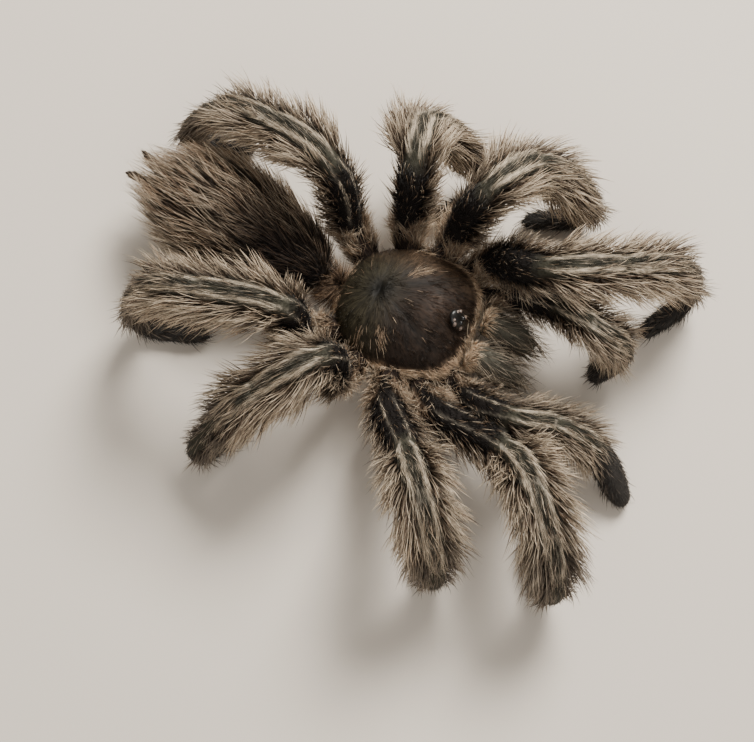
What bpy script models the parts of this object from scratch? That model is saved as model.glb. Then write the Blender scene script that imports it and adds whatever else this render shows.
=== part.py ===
"""A tarantula of the Chilean rose kind, life size, standing with its legs arched close to the body.

The head faces -Y and the spider's left side is +X. The floor is z = 0. All sizes below are in
millimetres. Every solid reaches out to the tips of the coat of hairs that covers the part.
"""
import math

import bmesh
import bpy
from mathutils import Matrix, Vector, kdtree

MM = 0.001
GAP = 0.3

# Fore body: places are (forward, left, up) from the point on the floor under the shield's middle.
SHIELD_LENGTH = 22.0
SHIELD_WIDTH = 21.0
SHIELD_EDGE_HEIGHT = 9.5
SHIELD_DOME = 5.0
SHIELD_FRONT_POWER = 3.2
SHIELD_REAR_POWER = 2.15
SHIELD_EDGE_THICKNESS = 0.5
FOVEA_FORWARD = -3.6
EYE_MOUND_FORWARD = 8.7
EYE_MOUND_LENGTH = 2.8
EYE_MOUND_WIDTH = 3.2
EYE_MOUND_HEIGHT = 1.25
JAW_ASIDE = 3.1
BELLY_TOP = SHIELD_EDGE_HEIGHT - SHIELD_EDGE_THICKNESS - GAP
BELLY_BOTTOM = 4.2
HIP_HALF_ANGLE = 0.19
PALP_HIP_HALF_ANGLE = 0.125
HIP_SLANT_ABOVE = 0.9
HIP_SLANT_BELOW = 0.3

# Hind body.
ABDOMEN_LENGTH = 35.6
ABDOMEN_WIDTH = 22.6
ABDOMEN_DEPTH = 19.0
ABDOMEN_HEIGHT = 10.3
ABDOMEN_FRONT = -12.9
ABDOMEN_SWING = math.radians(10)
ABDOMEN_TILT = math.radians(1.5)
ABDOMEN_REAR_FULLNESS = 0.14
SPINNERET_LENGTH = 3.0
SPINNERET_RADIUS = 0.95

# Limbs: lengths of the parts from the body out, and the height of the foot's middle line.
LEG_PARTS = ("femur", "patella", "tibia", "metatarsus", "tarsus")
PALP_PARTS = ("femur", "patella", "tibia", "tarsus")
LENGTHS = {
    "1": (17.0, 10.5, 12.6, 11.7, 8.3),
    "2": (15.8, 9.8, 11.3, 11.2, 8.3),
    "3": (14.8, 8.7, 9.8, 11.5, 8.4),
    "4": (17.6, 10.8, 13.6, 15.0, 9.2),
    "palp": (11.6, 7.4, 8.6, 9.0),
}
HIPS = {
    "1": (7.9, 12.2, 8.3),
    "2": (2.3, 13.6, 9.1),
    "3": (-5.0, 13.3, 9.2),
    "4": (-12.9, 9.5, 8.7),
    "palp": (12.6, 8.6, 8.0),
}
SOLE_HEIGHT = 1.9

# Pose, in degrees: each part's compass angle from straight ahead, turning to the left, and its
# rise above the level. A foot has no rise: it slopes from its ankle down to the floor.
POSE = {
    ("left", "1"): ((-12, 48), (26, -6), (33, -24), (30, -76), (-120,)),
    ("left", "2"): ((42, 69), (64, -18), (16, -39), (77, -79), (206,)),
    ("left", "3"): ((100, 70), (104, -20), (28, -46), (-13, -67), (235,)),
    ("left", "4"): ((157, 71), (160, -8), (165, -30), (186, -64), (22,)),
    ("right", "1"): ((-19, 19), (-43, 36), (-52, -23), (120, -88), (125,)),
    ("right", "2"): ((-55, 33), (-55, 32), (-50, -48), (114, -88), (116,)),
    ("right", "3"): ((-111, 70), (-133, -18), (-137, -41), (-136, -65), (59,)),
    ("right", "4"): ((-120, 75), (-169, 0), (-179, -35), (-171, -81), (15,)),
    ("left", "palp"): ((-3, 26), (-26, 34), (13, -52), (-140,)),
    ("right", "palp"): ((-21, 31), (26, -30), (0, -24), (-32,)),
}

# Radius of each limb part, out to the coat's tips, at its near end, its middle and its far end.
LEG_RADII = {
    "femur": (2.6, 3.6, 4.2),
    "patella": (4.3, 4.9, 5.1),
    "tibia": (5.2, 5.5, 4.2),
    "metatarsus": (3.8, 3.3, 2.8),
    "tarsus": (2.7, 2.7, 2.1),
}
PALP_RADII = {
    "femur": (2.4, 3.0, 3.3),
    "patella": (3.3, 3.5, 3.6),
    "tibia": (3.6, 3.8, 3.5),
    "tarsus": (3.2, 3.2, 2.5),
}
LEAST_RADIUS = 1.7
JOINT_FLARE = 1.12
LIMB_SIDES = 10
STEPS_PER_PART = 12

COLOURS = {
    "shield": ((0.045, 0.026, 0.016), 0.45),
    "eyes": ((0.006, 0.005, 0.005), 0.12),
    "belly": ((0.030, 0.020, 0.014), 0.8),
    "jaw": ((0.060, 0.048, 0.036), 0.7),
    "fang": ((0.010, 0.006, 0.005), 0.2),
    "abdomen": ((0.115, 0.082, 0.056), 0.85),
    "waist": ((0.030, 0.020, 0.014), 0.8),
    "spinneret": ((0.035, 0.026, 0.020), 0.75),
    "femur": ((0.016, 0.012, 0.010), 0.8),
    "patella": ((0.130, 0.110, 0.086), 0.8),
    "tibia": ((0.200, 0.160, 0.120), 0.8),
    "metatarsus": ((0.180, 0.140, 0.105), 0.8),
    "tarsus": ((0.026, 0.027, 0.030), 0.75),
}


def clear_scene():
    for old in list(bpy.data.objects):
        bpy.data.objects.remove(old, do_unlink=True)


def place(forward, left, up):
    """A point given from the fore body's middle, as x, y, z."""
    return Vector((left, -forward, up))


def heading(compass, rise):
    """Unit direction for a compass angle and a rise, both in degrees."""
    turn = math.radians(compass)
    lift = math.radians(rise)
    level = math.cos(lift)
    return place(math.cos(turn) * level, math.sin(turn) * level, math.sin(lift))


def material(kind, name):
    """The sub-part's own Principled material."""
    colour, roughness = COLOURS[kind]
    made = bpy.data.materials.new(name)
    made.use_nodes = True
    shader = made.node_tree.nodes["Principled BSDF"]
    shader.inputs["Base Color"].default_value = (*colour, 1.0)
    shader.inputs["Roughness"].default_value = roughness
    return made


def add_solid(name, kind, rings, smooth=True):
    """Close a stack of rings into one solid: walls between rings and a flat cap at each end."""
    shape = bmesh.new()
    loops = [[shape.verts.new(Vector(p) * MM) for p in ring] for ring in rings]
    for lower, upper in zip(loops, loops[1:]):
        for i in range(len(lower)):
            j = (i + 1) % len(lower)
            shape.faces.new((lower[i], lower[j], upper[j], upper[i]))
    shape.faces.new(loops[0][::-1])
    shape.faces.new(loops[-1])
    bmesh.ops.triangulate(shape, faces=shape.faces[:])
    bmesh.ops.recalc_face_normals(shape, faces=shape.faces[:])
    mesh = bpy.data.meshes.new(name)
    shape.to_mesh(mesh)
    shape.free()
    if smooth:
        mesh.shade_smooth()
        mesh.set_sharp_from_angle(angle=math.radians(50))
    made = bpy.data.objects.new(name, mesh)
    made.data.materials.append(material(kind, name))
    bpy.context.scene.collection.objects.link(made)
    return made


# --- Fore body -----------------------------------------------------------------------------------

def shield_radius(angle):
    """Distance from the shield's middle to its edge: an oval with a broad, nearly straight front."""
    ahead = math.cos(angle)
    aside = math.sin(angle)
    power = SHIELD_FRONT_POWER if ahead > 0 else SHIELD_REAR_POWER
    reach = (abs(2 * ahead / SHIELD_LENGTH) ** power + abs(2 * aside / SHIELD_WIDTH) ** power)
    return reach ** (-1 / power)


def shield_height(forward, left):
    """Height of the shield's top: a low dome, a swollen head and the pit of the fovea."""
    angle = math.atan2(left, forward)
    out = min(1.0, math.hypot(forward, left) / shield_radius(angle))
    dome = SHIELD_DOME * (1 - out ** 3) ** 0.7
    head = 0.9 * math.exp(-((forward - 5.5) / 4.0) ** 2 - (left / 3.8) ** 2)
    pit = 0.8 * math.exp(-((forward - FOVEA_FORWARD) / 1.2) ** 2 - (left / 1.7) ** 2)
    return SHIELD_EDGE_HEIGHT + dome + head - pit


def shield_ring(share, sectors):
    """One ring of the shield's top at a share of the way from its middle to its edge."""
    ring = []
    for k in range(sectors):
        angle = 2 * math.pi * k / sectors
        reach = share * shield_radius(angle)
        forward = reach * math.cos(angle)
        left = reach * math.sin(angle)
        ring.append(place(forward, left, shield_height(forward, left)))
    return ring


def build_shield():
    sectors = 28
    rim = shield_ring(1.0, sectors)
    floor_height = SHIELD_EDGE_HEIGHT - SHIELD_EDGE_THICKNESS
    under = [Vector((p.x * 0.985, p.y * 0.985, floor_height)) for p in rim]
    shares = (1.0, 0.96, 0.87, 0.72, 0.54, 0.36, 0.18, 0.05)
    add_solid("carapace", "shield", [under] + [shield_ring(s, sectors) for s in shares])


def mound_point(across, angle, lift):
    """A point of the eye mound, a share of the way out, lifted above the shield by a share."""
    forward = EYE_MOUND_FORWARD + across * 0.5 * EYE_MOUND_LENGTH * math.cos(angle)
    left = across * 0.5 * EYE_MOUND_WIDTH * math.sin(angle)
    return place(forward, left, shield_height(forward, left) + GAP + lift * EYE_MOUND_HEIGHT)


def build_eye_mound():
    """The low mound that carries the eight eyes, seated just above the shield."""
    sectors = 18
    angles = [2 * math.pi * k / sectors for k in range(sectors)]
    profile = [(1.0 - 0.02, 0.0), (1.0, 0.25), (0.86, 0.62), (0.62, 0.86), (0.32, 0.97), (0.08, 1.0)]
    seat = [[mound_point(share, a, 0.0) for a in angles] for share in (0.1, 0.5)]
    rings = seat + [[mound_point(across, a, lift) for a in angles] for across, lift in profile]
    add_solid("eye_mound", "eyes", rings)


def hip_reach(angle, height):
    """How far the nearest hip boss stands out at an angle and a height, and how much of it."""
    share = 0.0
    reach = 0.0
    for limb, (forward, left, up) in HIPS.items():
        half_angle = PALP_HIP_HALF_ANGLE if limb == "palp" else HIP_HALF_ANGLE
        for side in (1, -1):
            hip_angle = math.atan2(side * left, forward + 1.0)
            apart = (angle - hip_angle + math.pi) % (2 * math.pi) - math.pi
            here = math.exp(-(apart / half_angle) ** 4)
            if here > share:
                slant = HIP_SLANT_ABOVE if height > up else HIP_SLANT_BELOW
                share = here
                reach = math.hypot(forward + 1.0, left) - 1.2 * GAP - (height - up) * slant
    return share, reach


def belly_ring(height, oval_share, hip_share):
    """One level ring of the belly plate with its hip bosses."""
    sectors = 72
    ring = []
    for k in range(sectors):
        angle = 2 * math.pi * k / sectors
        oval = oval_share * (9.0 + 1.2 * math.cos(angle) ** 2)
        share, hip = hip_reach(angle, height)
        reach = oval + share * hip_share * max(0.0, hip - oval)
        ring.append(place(reach * math.cos(angle) - 1.0, reach * math.sin(angle), height))
    return ring


def build_belly():
    """The breast plate with the hips around it, under the shield."""
    levels = ((BELLY_BOTTOM, 0.66, 0.15), (BELLY_BOTTOM + 0.7, 0.84, 0.75),
              (BELLY_BOTTOM + 1.8, 0.94, 1.0), (BELLY_TOP - 1.1, 0.97, 1.0),
              (BELLY_TOP, 0.9, 0.93))
    add_solid("prosoma_underside", "belly", [belly_ring(*level) for level in levels])


def tube_rings(points, sizes, sides, start=0.0):
    """Rings square to a smooth line through points; sizes are (half width, half height)."""
    rings = []
    for k, centre in enumerate(points):
        ahead = points[min(k + 1, len(points) - 1)] - points[max(k - 1, 0)]
        across = ahead.cross(Vector((0, 0, 1))).normalized()
        above = across.cross(ahead).normalized()
        wide, tall = sizes[k]
        ring = []
        for i in range(sides):
            angle = start + 2 * math.pi * i / sides
            ring.append(centre + across * wide * math.cos(angle) + above * tall * math.sin(angle))
        rings.append(ring)
    return rings


def build_jaw(side, sign):
    """One chelicera: it leans forward from the shield's front and curves down to the fang."""
    profile = ((11.75, 9.0, 2.6, 2.9), (13.0, 9.35, 2.9, 3.5), (15.0, 9.3, 3.0, 3.7),
               (17.2, 8.3, 2.95, 3.6), (19.0, 6.9, 2.6, 3.0), (20.3, 5.4, 2.0, 2.1),
               (20.9, 4.5, 1.2, 1.2))
    points = [place(forward, sign * JAW_ASIDE, up) for forward, up, _, _ in profile]
    sizes = [(wide, tall) for _, _, wide, tall in profile]
    rings = tube_rings(points, sizes, 14)
    for ring in rings:
        for p in ring:
            p.x = sign * max(sign * p.x, 0.5 * GAP)
    for p in rings[0]:
        p.y = -(shield_radius(math.atan2(p.x, 11.0)) * 11.0 / math.hypot(p.x, 11.0) + GAP)
    add_solid("chelicera_" + side, "jaw", rings)


def build_fang(side, sign):
    """One fang, folded back under its chelicera."""
    profile = ((20.2, 2.55, 0.95), (19.0, 2.05, 0.9), (17.4, 1.8, 0.75), (15.8, 1.9, 0.55),
               (14.4, 2.3, 0.38), (13.6, 2.7, 0.27))
    points = [place(forward, sign * (2.0 + 0.05 * forward), up) for forward, up, _ in profile]
    add_solid("fang_" + side, "fang", tube_rings(points, [(r, r) for _, _, r in profile], 8))


# --- Hind body -----------------------------------------------------------------------------------

def abdomen_frame():
    """Where the abdomen's length starts, and its backward, leftward and upward directions."""
    front = place(ABDOMEN_FRONT, 0.0, ABDOMEN_HEIGHT)
    backward = -heading(-math.degrees(ABDOMEN_SWING), -math.degrees(ABDOMEN_TILT))
    leftward = Vector((0, 0, 1)).cross(-backward).normalized()
    return front, backward, leftward, backward.cross(leftward) * -1


def abdomen_point(share, angle):
    """A point of the abdomen's surface: share runs from the front pole to the rear one."""
    front, backward, leftward, upward = abdomen_frame()
    turn = math.pi * share
    along = 0.5 * ABDOMEN_LENGTH * (1 - math.cos(turn))
    girth = math.sin(turn) * (1 - ABDOMEN_REAR_FULLNESS * math.cos(turn))
    wide = 0.5 * ABDOMEN_WIDTH * girth * math.cos(angle)
    tall = 0.5 * ABDOMEN_DEPTH * girth * math.sin(angle)
    return front + backward * along + leftward * wide + upward * tall


def build_abdomen():
    sides = 18
    shares = (0.04, 0.1, 0.18, 0.27, 0.36, 0.45, 0.54, 0.63, 0.72, 0.81, 0.89, 0.96)
    rings = [[abdomen_point(s, 2 * math.pi * i / sides) for i in range(sides)] for s in shares]
    add_solid("abdomen", "abdomen", rings)


def build_waist():
    """The narrow stalk between the fore body and the abdomen."""
    points = [place(-11.4 - 0.4 * k, 0.05 * k, 8.1) for k in range(4)]
    sizes = ((1.8, 1.5), (1.5, 1.3), (1.5, 1.3), (1.8, 1.4))
    rings = tube_rings(points, sizes, 10)
    add_solid("pedicel", "waist", rings)


def build_spinneret(side, sign):
    """One jointed spinneret at the abdomen's rear end."""
    _, backward, leftward, upward = abdomen_frame()
    root = abdomen_point(0.955, math.pi if sign < 0 else 0.0) + backward * (0.5 + GAP)
    line = (backward + leftward * sign * 0.22 + upward * 0.1).normalized()
    shares = (0.0, 0.12, 0.38, 0.42, 0.7, 0.74, 0.95, 1.0)
    widths = (0.8, 1.0, 0.95, 0.8, 0.8, 0.62, 0.5, 0.3)
    points = [root + line * SPINNERET_LENGTH * s for s in shares]
    rings = tube_rings(points, [(SPINNERET_RADIUS * w,) * 2 for w in widths], 8)
    add_solid("spinneret_" + side, "spinneret", rings)


# --- Limbs ---------------------------------------------------------------------------------------

def joint_points(side, limb):
    """The limb's hip, its joints and the middle of its foot's tip."""
    sign = 1 if side == "left" else -1
    forward, left, up = HIPS[limb]
    points = [place(forward, sign * left, up)]
    for length, aim in zip(LENGTHS[limb], POSE[side, limb]):
        if len(aim) == 1:
            drop = points[-1].z - SOLE_HEIGHT
            aim = (aim[0], -math.degrees(math.asin(drop / length)))
        points.append(points[-1] + heading(*aim) * length)
    return points


def joint_headings(points):
    """The limb's direction at each joint: it halves the bend. The hip starts outward."""
    parts = [(b - a).normalized() for a, b in zip(points, points[1:])]
    outward = Vector((points[0].x, points[0].y, 0)).normalized() + Vector((0, 0, 0.25))
    first = (outward.normalized() + parts[0]).normalized()
    middle = [(a + b).normalized() for a, b in zip(parts, parts[1:])]
    return [first] + middle + [parts[-1]]


def curve_at(start, end, out, into, share):
    """Place and direction a share of the way along a smooth curve from start to end."""
    reach = (end - start).length
    s = share
    spot = start * (2 * s**3 - 3 * s**2 + 1) + end * (3 * s**2 - 2 * s**3)
    spot = spot + out * reach * (s**3 - 2 * s**2 + s) + into * reach * (s**3 - s**2)
    slope = (start - end) * (6 * s**2 - 6 * s)
    slope = slope + out * reach * (3 * s**2 - 4 * s + 1) + into * reach * (3 * s**2 - 2 * s)
    return spot, slope.normalized()


def joint_room(curve, centre, along):
    """The largest radius here that keeps a ring between the part's two joint planes."""
    start, end, out, into = curve
    room = math.inf
    for spot, square in ((start, out), (end, into)):
        tilt = along.cross(square).length
        if tilt > 0.05:
            room = min(room, (abs((centre - spot).dot(square)) - 0.5 * GAP) / tilt)
    return room


def limb_curves():
    """Each limb's parts as curves: {(side, limb): [(start, end, out, into), ...]}."""
    curves = {}
    for side, limb in POSE:
        points = joint_points(side, limb)
        aims = joint_headings(points)
        curves[side, limb] = list(zip(points, points[1:], aims, aims[1:]))
    return curves


def body_tree():
    """Points spread over the body's solids, which the limbs stay clear of."""
    spots = [abdomen_point(u / 60, 2 * math.pi * v / 60) for u in range(61) for v in range(60)]
    spots += [p for share in (1.0, 0.9, 0.8, 0.7, 0.5) for p in shield_ring(share, 90)]
    for name in ("chelicera_left", "chelicera_right", "prosoma_underside"):
        for edge in bpy.data.objects[name].data.edges:
            a, b = (bpy.data.objects[name].data.vertices[i].co / MM for i in edge.vertices)
            spots += [a.lerp(b, k / 4) for k in range(5)]
    return filled_tree(spots)


def filled_tree(spots):
    tree = kdtree.KDTree(len(spots))
    for i, spot in enumerate(spots):
        tree.insert(spot, i)
    tree.balance()
    return tree


def neighbour_tree(curves, own):
    """Points along the middle lines of every other limb."""
    spots = []
    for key, parts in curves.items():
        if key != own:
            spots += [curve_at(*part, k / STEPS_PER_PART)[0]
                      for part in parts for k in range(STEPS_PER_PART + 1)]
    return filled_tree(spots)


def wanted_radius(radii, share):
    """The coat's radius along a part, from its near, middle and far values."""
    near, middle, far = radii
    return near * (1 - share) * (1 - 2 * share) + 4 * middle * share * (1 - share) \
        + far * share * (2 * share - 1)


def limb_ring(centre, along, radius, square):
    """One ring of a limb, square to its middle line; square is a fixed sideways hint."""
    across = (square - along * square.dot(along)).normalized()
    above = along.cross(across)
    ring = []
    for i in range(LIMB_SIDES):
        angle = 2 * math.pi * (i + 0.5) / LIMB_SIDES
        ring.append(centre + (across * math.cos(angle) + above * math.sin(angle)) * radius)
    return ring


def limb_part_rings(curve, radii, room, is_foot):
    """All rings of one limb part, parted from its neighbours by half a gap at each end."""
    start, end, out, into = curve
    bend = out.cross(into)
    square = bend.normalized() if bend.length > 0.05 else out.cross(Vector((0, 0, 1))).normalized()
    steps = (0.0, 0.2, 0.45, 0.7, 0.88, 1.0) if is_foot else (0.0, 0.25, 0.5, 0.75, 1.0)
    rounding = {0.88: 0.93, 1.0: 0.55} if is_foot else {}
    spots = [curve_at(start, end, out, into, share) for share in steps]
    sizes = [min(wanted_radius(radii, share) * rounding.get(share, 1.0), room(centre),
                 0.97 * joint_room(curve, centre, along))
             for share, (centre, along) in zip(steps, spots)]
    sizes[0] = min(sizes[0], JOINT_FLARE * sizes[1])
    sizes[-1] = min(sizes[-1], JOINT_FLARE * sizes[-2])
    rings = []
    for share, (centre, along), radius in zip(steps, spots, sizes):
        shift = 0.5 * GAP * ((share == 0.0) - (share == 1.0))
        rings.append(limb_ring(centre + along * shift, along, radius, square))
    return rings


def build_limb(side, limb, curves, body):
    neighbours = neighbour_tree(curves, (side, limb))

    def room(centre):
        """The largest radius here that stays clear of the body and of the other limbs."""
        to_body = body.find(centre)[2] - 1.2 * GAP
        to_limb = 0.5 * (neighbours.find(centre)[2] - 1.2 * GAP)
        return max(LEAST_RADIUS, min(to_body, to_limb))

    names = PALP_PARTS if limb == "palp" else LEG_PARTS
    table = PALP_RADII if limb == "palp" else LEG_RADII
    for part, curve in zip(names, curves[side, limb]):
        rings = limb_part_rings(curve, table[part], room, part == "tarsus")
        for ring in rings:
            for p in ring:
                p.z = max(p.z, 0.0 if part == "tarsus" else 0.6)
        stem = "palp" if limb == "palp" else "leg_" + limb
        add_solid(f"{stem}_{side}_{part}", part, rings)


def centre_on_footprint():
    """Move everything so that the origin is the middle of the model's footprint on the floor."""
    corners = [v.co for o in bpy.data.objects for v in o.data.vertices]
    low = Vector(map(min, zip(*corners)))
    high = Vector(map(max, zip(*corners)))
    shift = Matrix.Translation(Vector((-0.5 * (low.x + high.x), -0.5 * (low.y + high.y), -low.z)))
    for made in bpy.data.objects:
        made.data.transform(shift)
    print("footprint shift in mm:", [round(v / MM, 3) for v in shift.translation])


def build():
    clear_scene()
    build_shield()
    build_eye_mound()
    build_belly()
    build_abdomen()
    build_waist()
    for side, sign in (("left", 1), ("right", -1)):
        build_jaw(side, sign)
        build_fang(side, sign)
        build_spinneret(side, sign)
    curves = limb_curves()
    body = body_tree()
    for side, limb in POSE:
        build_limb(side, limb, curves, body)
    centre_on_footprint()
    print("triangles:", sum(len(o.data.polygons) for o in bpy.data.objects))


build()
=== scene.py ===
# %% [markdown]
# A life-size tarantula for a museum case: one skin over all the soft parts, a horn shield with an
# eye mound, folded fangs, and a coat of about 180,000 separate hairs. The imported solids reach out
# to the tips of the coat, so the skin lies inside them and the hairs fill the space between.

# %% Load the fixed frame
import math
import time

import bmesh
import bpy
import numpy as np
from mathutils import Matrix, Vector, kdtree


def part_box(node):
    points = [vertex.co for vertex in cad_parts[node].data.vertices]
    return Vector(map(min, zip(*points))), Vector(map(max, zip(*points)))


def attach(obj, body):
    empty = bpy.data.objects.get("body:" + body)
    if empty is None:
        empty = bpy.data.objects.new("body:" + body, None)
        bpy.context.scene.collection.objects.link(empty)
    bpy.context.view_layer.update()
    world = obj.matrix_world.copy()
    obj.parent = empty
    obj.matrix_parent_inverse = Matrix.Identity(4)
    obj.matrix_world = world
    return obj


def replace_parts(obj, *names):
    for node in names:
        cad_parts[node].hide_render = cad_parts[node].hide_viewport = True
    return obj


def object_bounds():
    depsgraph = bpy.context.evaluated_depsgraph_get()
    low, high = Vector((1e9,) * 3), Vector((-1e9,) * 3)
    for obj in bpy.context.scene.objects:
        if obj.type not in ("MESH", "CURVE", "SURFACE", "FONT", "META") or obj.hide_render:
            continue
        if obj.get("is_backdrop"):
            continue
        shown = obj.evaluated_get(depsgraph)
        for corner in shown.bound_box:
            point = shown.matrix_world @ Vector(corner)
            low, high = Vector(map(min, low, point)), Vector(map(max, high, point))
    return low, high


STARTED = time.time()
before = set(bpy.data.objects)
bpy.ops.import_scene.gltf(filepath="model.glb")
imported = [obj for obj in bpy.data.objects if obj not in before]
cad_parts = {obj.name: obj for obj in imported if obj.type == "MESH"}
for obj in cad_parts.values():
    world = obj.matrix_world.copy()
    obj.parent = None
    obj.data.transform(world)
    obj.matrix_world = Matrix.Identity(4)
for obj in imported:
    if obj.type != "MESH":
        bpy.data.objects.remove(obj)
cad_low, cad_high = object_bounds()
MM = 0.001
rng = np.random.default_rng(11)
scene = bpy.context.scene
print("solids loaded:", len(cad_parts))

# %% [markdown]
# Every place is worked out from the solids. The middle of the shield is the landmark for the
# body: the head looks along -Y from there and the spider's left side is +X.

# %% Landmarks
shield_low, shield_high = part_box("carapace")
shield_middle = (shield_low + shield_high) / 2
SHIELD_FLOOR = Vector((shield_middle.x, shield_middle.y, 0))
RIM_SQUARENESS = 2.6


def middle_of(*nodes):
    """The middle of the boxes round some solids."""
    corners = [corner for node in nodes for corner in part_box(node)]
    return np.array(sum(corners, Vector()) / len(corners))


def from_rim(points):
    """How far out places lie on the shield seen from above: 0 at its middle, 1 at its rim."""
    offset = (points - np.array(shield_middle))[:, :2] / np.array(shield_high - shield_low)[:2] * 2
    return (np.abs(offset) ** RIM_SQUARENESS).sum(1) ** (1 / RIM_SQUARENESS)


waist_middle = middle_of("pedicel")
print("shield middle in mm:", [round(v / MM, 2) for v in shield_middle])

# %% [markdown]
# The camera stands 240 mm away, to the right of the head, and looks down steeply. A long lens on
# a macro shot like this keeps the near legs from looming.

# %% Camera
VIEW_DISTANCE = 240 * MM
VIEW_RISE = math.radians(68)
VIEW_TURN = math.radians(-67.3)
FOCAL_LENGTH = 73.3
AIM = SHIELD_FLOOR + Vector((-11.3, 0.2, 9.5)) * MM


def add_camera():
    """Look at the aim point from a compass turn and a rise above the floor."""
    level = math.cos(VIEW_RISE)
    back = Vector((math.sin(VIEW_TURN) * level, -math.cos(VIEW_TURN) * level, math.sin(VIEW_RISE)))
    lens = bpy.data.cameras.new("camera")
    lens.lens = FOCAL_LENGTH
    lens.clip_start = 0.01
    made = bpy.data.objects.new("camera", lens)
    made.location = AIM + back * VIEW_DISTANCE
    made.rotation_euler = back.to_track_quat("Z", "Y").to_euler()
    scene.collection.objects.link(made)
    scene.camera = made


add_camera()
print("camera set")

# %% [markdown]
# Three helpers serve every finish. Colours are written as hex values, as a painter's chart gives
# them, and turned to the linear values that the shader wants.

# %% Colour and node helpers
def paint(hex_code):
    """A linear colour from an sRGB hex value such as "6b5a48"."""
    parts = np.array([int(hex_code[i:i + 2], 16) / 255 for i in (0, 2, 4)])
    return np.where(parts <= 0.04045, parts / 12.92, ((parts + 0.055) / 1.055) ** 2.4)


def add_node(tree, kind, links=None, **settings):
    """Add a node, set its properties or sockets, and link named inputs from other sockets."""
    node = tree.nodes.new(kind)
    for name, value in settings.items():
        if hasattr(node, name):
            setattr(node, name, value)
        else:
            node.inputs[name.replace("_", " ")].default_value = value
    for name, source in (links or {}).items():
        tree.links.new(source, node.inputs[name])
    return node


def new_finish(name, **settings):
    """A named Principled material; settings are the shader's own constant sockets."""
    finish = bpy.data.materials.new(name)
    finish.use_nodes = True
    shader = finish.node_tree.nodes["Principled BSDF"]
    for socket, value in settings.items():
        shader.inputs[socket.replace("_", " ")].default_value = value
    return finish, finish.node_tree, shader


# %% [markdown]
# Meshes are read and written as whole arrays, which is fast. Rounding and fusing are left to
# Blender's own modifiers, on a holder object that is thrown away afterwards.

# %% Mesh helpers
def read_rows(items, name, kind=float):
    """One property of many mesh items, three numbers each, as rows."""
    flat = np.empty(len(items) * 3, kind)
    items.foreach_get(name, flat)
    return flat.reshape(-1, 3)


def surface_of(mesh):
    """A mesh's points, their facing, and its triangles."""
    mesh.calc_loop_triangles()
    triangles = read_rows(mesh.loop_triangles, "vertices", np.int32)
    return read_rows(mesh.vertices, "co"), read_rows(mesh.vertices, "normal"), triangles


def move_points(mesh, points):
    """Put a mesh's points at new places."""
    mesh.vertices.foreach_set("co", points.ravel())
    mesh.update()


def modified(mesh, *modifiers):
    """A new smooth mesh: the old one with some modifiers applied, each a kind and its settings."""
    holder = bpy.data.objects.new("holder", mesh)
    scene.collection.objects.link(holder)
    for kind, settings in modifiers:
        modifier = holder.modifiers.new(kind.lower(), kind)
        for name, value in settings.items():
            setattr(modifier, name, value)
    ready = holder.evaluated_get(bpy.context.evaluated_depsgraph_get())
    made = bpy.data.meshes.new_from_object(ready)
    bpy.data.objects.remove(holder, do_unlink=True)
    made.shade_smooth()
    return made


def rounded_solid(node, levels):
    """A smooth mesh of a solid: its split corners are welded, then it is subdivided."""
    shape = bmesh.new()
    shape.from_mesh(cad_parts[node].data)
    bmesh.ops.remove_doubles(shape, verts=shape.verts, dist=1e-6)
    mesh = bpy.data.meshes.new(node + "_welded")
    shape.to_mesh(mesh)
    shape.free()
    return modified(mesh, ("SUBSURF", {"levels": levels, "render_levels": levels}))


# %% [markdown]
# A limb is a chain of stiff parts. Each part's solid has a flat end at each joint, so the joints
# can be read back from the solids: the middle of a flat end is on the limb's middle line, and its
# facing gives the line's direction there. That keeps the skin inside the solids by itself.

# %% Read the limbs from the solids
SIDES = ("left", "right")
LIMBS = ("leg_1", "leg_2", "leg_3", "leg_4", "palp")
LEG_PARTS = ("femur", "patella", "tibia", "metatarsus", "tarsus")
PALP_PARTS = ("femur", "patella", "tibia", "tarsus")
SOLE_LEVEL = 0.02 * MM
SAME_FACING = 0.99995
FEWEST_END_FACES = 6


def flat_ends(node):
    """Middle and facing of each flat, many-sided end of a limb part's solid."""
    groups = []
    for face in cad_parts[node].data.polygons:
        offset = face.normal.dot(face.center)
        if face.normal.z < -0.99 and face.center.z < SOLE_LEVEL:
            continue
        for facing, level, faces in groups:
            if facing.dot(face.normal) > SAME_FACING and abs(level - offset) < 0.01 * MM:
                faces.append(face)
                break
        else:
            groups.append((face.normal.copy(), offset, [face]))
    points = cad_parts[node].data.vertices
    ends = []
    for facing, _, faces in groups:
        if len(faces) >= FEWEST_END_FACES:
            ring = {tuple(round(c / MM, 3) for c in points[i].co) for f in faces for i in f.vertices}
            ends.append((Vector(np.mean(list(ring), 0)) * MM, facing))
    return ends


def read_limb(limb, side):
    """The limb's joints and the direction of its middle line at each, from the body out."""
    parts = PALP_PARTS if limb == "palp" else LEG_PARTS
    ends = [flat_ends(f"{limb}_{side}_{part}") for part in parts]
    joints = []
    for near, far in zip(ends, ends[1:]):
        pairs = [((a[0] - b[0]).length, i, k) for i, a in enumerate(near) for k, b in enumerate(far)]
        _, i, k = min(pairs)
        joints.append(((near[i][0] + far[k][0]) / 2, near[i][1]))
    hip = max(ends[0], key=lambda end: (end[0] - joints[0][0]).length)
    tip = max(ends[-1], key=lambda end: (end[0] - joints[-1][0]).length)
    return [(hip[0], -hip[1])] + joints + [tip]


limb_joints = {limb + "_" + side: read_limb(limb, side) for side in SIDES for limb in LIMBS}
print("limbs read:", len(limb_joints))

# %% [markdown]
# Between two joints the middle line is a smooth curve that leaves one joint and enters the next
# along their directions. The lines are sampled once, and the skin, the markings and the lie of
# the hairs all come from the samples. "station" counts parts: 2.5 is halfway down the tibia.

# %% Sample the limbs' middle lines
STEPS = 16


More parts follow.
